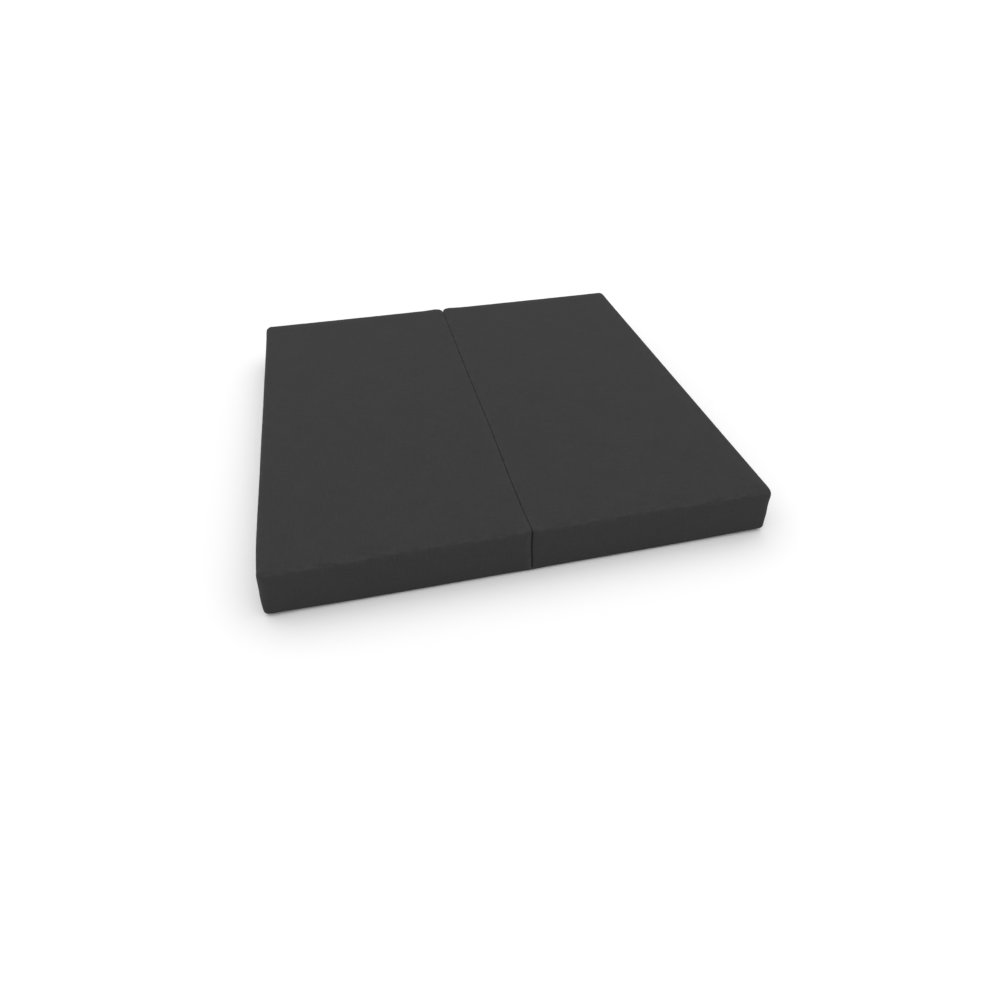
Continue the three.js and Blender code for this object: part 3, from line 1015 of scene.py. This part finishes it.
# A rounded outline from its corner points and their radii.
def roundedOutline(corners, steps=5):
    outline = []
    for i, (x, z, radius) in enumerate(corners):
        here = np.array((x, z))
        before, after = np.array(corners[i - 1][:2]), np.array(corners[(i + 1) % len(corners)][:2])
        start = here + (before - here) / np.linalg.norm(before - here) * radius
        end = here + (after - here) / np.linalg.norm(after - here) * radius
        for share in np.linspace(0, 1, steps):
            bent = (1 - share) ** 2 * start + 2 * share * (1 - share) * here + share ** 2 * end
            outline.append(tuple(bent))
    return outline


# The corners of a bar, for roundedOutline.
def barCorners(low, high, radius):
    return [(*low, radius), (high[0], low[1], radius), (*high, radius), (low[0], high[1], radius)]


# Lengths along the zip are from the slider's middle, and places out from the back wall.
slider = {
    'half': 0.0060,          # half its length
    'nose': 0.0034,          # half the height of its narrow end
    'tail': 0.0047,
    'outer': (0.0010, 0.0012, 0.00032),    # middle, thickness and rounding of the outer wing
    'inner': (-0.0035, 0.0008, 0.0002),
    'flange': (-0.00035, 0.0017, 0.0001),
    'flangeHalf': (0.0056, 0.0003),
    'flangeUp': 0.00335,
    'web': (-0.00135, 0.0036, 0.0001),
    'webHalf': (0.004, 0.0003),
    'crownTop': 0.0041,      # middle of the crown's bar
    'crownPost': 0.0028,
    'crownWide': 0.0022,
    'crownThick': 0.0010,
}
pull = {
    'out': 0.0026,
    'end': -0.0300,
    'wide': 0.0040,          # half the width of the tab at its grip
    'neck': 0.0032,
    'thick': 0.0012,
    'bevel': 0.00028,
    'grip': (-0.0250, 0.0016),
    'window': (-0.0065, -0.0006, 0.0020),
    'ridges': 5,
    'ridgeStep': 0.0014,
    'ridgeHigh': 0.00015,
}


def sliderMiddle(side):
    low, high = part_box(side + '_zip_slider')
    return (low.x + high.x) / 2


# A plate at a slider, from outlines round the slider's middle.
def plateAt(side, outlines, out, thick, bevel):
    middle = sliderMiddle(side)
    moved = [[(middle + x, zipMiddle + up) for x, up in outline] for outline in outlines]
    return plate(moved, backFace + out, thick, bevel)


def joinMetal(name, parts, node, body):
    piece = newMesh(name, *joined(parts), metalMaterial)
    piece.data.set_sharp_from_angle(angle=math.radians(35))
    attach(piece, body)
    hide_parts(node)


def makeSlider(side):
    half, tail, nose = slider['half'], slider['tail'], slider['nose']
    wing = roundedOutline([(-half, -nose, 0.0014), (-half * 0.1, -tail, 0.003), (half, -tail, 0.0016),
                           (half, tail, 0.0016), (-half * 0.1, tail, 0.003), (-half, nose, 0.0014)])
    parts = [plateAt(side, [wing], *slider['outer']), plateAt(side, [wing], *slider['inner'])]
    x, z = slider['flangeHalf']
    for up in (-slider['flangeUp'], slider['flangeUp']):
        flange = roundedOutline(barCorners((-x, up - z), (x, up + z), 0.0001), 2)
        parts.append(plateAt(side, [flange], *slider['flange']))
    x, z = slider['webHalf']
    parts.append(plateAt(side, [roundedOutline(barCorners((-x, -z), (x, z), 0.0002), 3)], *slider['web']))
    post, top = slider['crownPost'], slider['crownTop']
    rise = [(post, 0.0011), (post, 0.0022), (post * 0.97, 0.0030), (post * 0.84, 0.0036),
            (post * 0.62, top - 0.0001), (post * 0.3, top)]
    arch = [(-x, out) for x, out in rise] + rise[::-1]
    thick, wide = slider['crownThick'] / 2, slider['crownWide'] / 2
    section = [(thick * across, wide * along) for across, along in
               ((1, 0.5), (1, 0.75), (0.75, 1), (-0.75, 1), (-1, 0.75), (-1, 0.5),
                (-1, -0.5), (-1, -0.75), (-0.75, -1), (0.75, -1), (1, -0.75), (1, -0.5))]
    path = [(sliderMiddle(side) + x, backFace + out, zipMiddle) for x, out in arch]
    parts.append(tube(path, np.ones(len(path)), len(section), (0, 0, 1), section))
    joinMetal(f'{side}_zip_slider_cast', parts, side + '_zip_slider', side + '_slider')


def makePull(side):
    end, neck, wide = pull['end'], pull['neck'], pull['wide']
    windowEnd, windowStart, tall = pull['window']
    gripAt, gripRound = pull['grip']
    edge = roundedOutline([(0.0006, -neck, 0.0006), (0.0006, neck, 0.0006), (-0.0080, neck, 0.0022),
                           (-0.0130, wide, 0.0022), (end, wide, 0.0036), (end, -wide, 0.0036),
                           (-0.0130, -wide, 0.0022), (-0.0080, -neck, 0.0022)], 7)
    window = roundedOutline([(windowStart, -tall, 0.0006), (windowStart, tall, 0.0006),
                             (windowEnd, tall, 0.0012), (windowEnd, -tall, 0.0012)])
    grip = [(gripAt + gripRound * math.cos(turn), gripRound * math.sin(turn))
            for turn in np.arange(28) * math.tau / 28]
    parts = [plateAt(side, [edge, window, grip], pull['out'], pull['thick'], pull['bevel'])]
    ridge = roundedOutline([(-0.0150, -0.0022, 0.0005), (-0.0150, 0.0022, 0.0005),
                            (-0.0146, 0.0022, 0.0001), (-0.0146, -0.0022, 0.0001)], 2)
    for n in range(pull['ridges']):
        bar = [(x - n * pull['ridgeStep'], up) for x, up in ridge]
        parts.append(plateAt(side, [bar], pull['out'], pull['thick'] + 2 * pull['ridgeHigh'], 0.0001))
    joinMetal(f'{side}_zip_pull_stamped', parts, side + '_zip_pull', side + '_pull')


def dressMetal(node):
    part = bpy.data.objects[node]
    if not part.data.materials:
        part.data.materials.append(metalMaterial)
    for used in part.material_slots:
        used.material = metalMaterial
    softer = part.modifiers.new('softEdges', 'BEVEL')
    softer.width = zipper['metalBevel']
    softer.segments = 3
    softer.limit_method = 'ANGLE'
    softer.angle_limit = math.radians(40)


for side in halfNames:
    for which, phase in (('upper', 0.0), ('lower', math.pi / 2)):
        makeCoil(side, which, phase)
        makeTape(side, which)
    dressMetal(side + '_zip_stop_closed')
    dressMetal(side + '_zip_stop_open')
    makeSlider(side)
    makePull(side)
print('zips made')


# The blank care label, sewn into the top seam of the back wall.
label = {
    'lift': 0.0005,
    'thick': 0.0006,
    'curl': 0.0028,
    'rows': 30,
    'columns': 26,
    'hem': 0.004,
    'hemThick': 0.00035,
    'length': 0.0567,
}


def makeLabel():
    low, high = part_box('care_label')
    seamZ = height - topEdge * (1 - math.sqrt(0.5))
    rows, columns = label['rows'], label['columns']
    front = []
    for j in range(rows + 1):
        z = seamZ - 0.0004 + (low.z - seamZ) * j / rows
        for i in range(columns + 1):
            x = low.x + (high.x - low.x) * i / columns
            spot, normal = surface('left', (x, backFace, z), (0, -1, 0))
            share, sideways = j / rows, i / columns - 0.5
            curl = label['curl'] * share ** 3 * (1 + 0.5 * math.sin(sideways * 5.1 + 0.7))
            wave = 0.0005 * share * math.sin(sideways * 11 + share * 3)
            front.append(np.array(spot + normal * (label['lift'] + label['thick']))
                         + (0, max(0, curl + wave), 0.0006 * share * math.sin(sideways * 6)))
    front = np.array(front)
    hemmed = np.array([1 if (rows - j) / rows * (seamZ - low.z) < label['hem'] else 0
                       for j in range(rows + 1) for _ in range(columns + 1)])
    front[:, 1] += label['hemThick'] * hemmed
    back = front - (0, label['thick'], 0)
    back[:, 1] -= label['hemThick'] * hemmed
    wide = columns + 1
    places = [(point[0], n // wide * 0.0018) for n, point in enumerate(front)]
    piece = newSheet('careLabel', np.concatenate([front, back]), places * 2, wide, labelMaterial)
    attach(piece, 'left_half')
    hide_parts('care_label')
    stitches = []
    hemRow = round(rows * (1 - label['hem'] / (seamZ - low.z)))
    for row in (2, hemRow - 1):
        line = front[row * wide:(row + 1) * wide]
        for n in range(int((high.x - low.x - 0.003) / sewing['pitch'])):
            x = low.x + 0.002 + (n + 0.5) * sewing['pitch']
            at = [np.interp(x + shift * sewing['stitch'] / 2, line[:, 0], line[:, k])
                  for shift in (-1, -0.3, 0.3, 1) for k in (1, 2)]
            path = [(x + shift * sewing['stitch'] / 2, at[2 * k] + rise * sewing['thread'], at[2 * k + 1])
                    for k, (shift, rise) in enumerate(((-1, -0.6), (-0.3, 0.6), (0.3, 0.6), (1, -0.6)))]
            stitches.append(tube(path, np.array([0.5, 1, 1, 0.5]) * sewing['thread'] * 0.8, 6, (0, 1, 0)))
    threadPiece('care_label_stitching', stitches, labelThread, 'left')


makeLabel()
print('label made')


studio = {
    'floor': (0.88, 0.88, 0.88),
    'sky': 0.60,
    'sun': 1.85,
    'sunSpread': 100,   # degrees, for a very soft light
}
view = {
    'place': (-0.37650, -1.94963, 1.34498),
    'turn': (50.0800, 0.2362, -13.3685),
    'lens': 24.646,
}


def makeStudio():
    shader = Shader('paleFloor', Roughness=0.9, Specular_IOR_Level=0.0)
    shader.set('Base Color', studio['floor'])
    newMesh('floor', [(-60, -60, 0), (60, -60, 0), (60, 60, 0), (-60, 60, 0)], [(0, 1, 2, 3)],
                     shader.material)
    scene.world = bpy.data.worlds.new('studio')
    scene.world.use_nodes = True
    sky = scene.world.node_tree.nodes['Background']
    sky.inputs['Color'].default_value = (1, 1, 1, 1)
    sky.inputs['Strength'].default_value = studio['sky']
    lamp = bpy.data.lights.new('overhead', 'SUN')
    lamp.energy = studio['sun']
    lamp.angle = math.radians(studio['sunSpread'])
    overhead = bpy.data.objects.new('overhead', lamp)
    overhead.location = (0, 0, 3)
    scene.collection.objects.link(overhead)
    lens = bpy.data.cameras.new('camera')
    lens.lens = view['lens']
    lens.sensor_width = 36
    lens.clip_end = 200
    camera = bpy.data.objects.new('camera', lens)
    camera.location = view['place']
    camera.rotation_euler = [math.radians(angle) for angle in view['turn']]
    scene.collection.objects.link(camera)
    scene.camera = camera
    scene.view_settings.view_transform = 'Standard'


makeStudio()
print('studio ready')
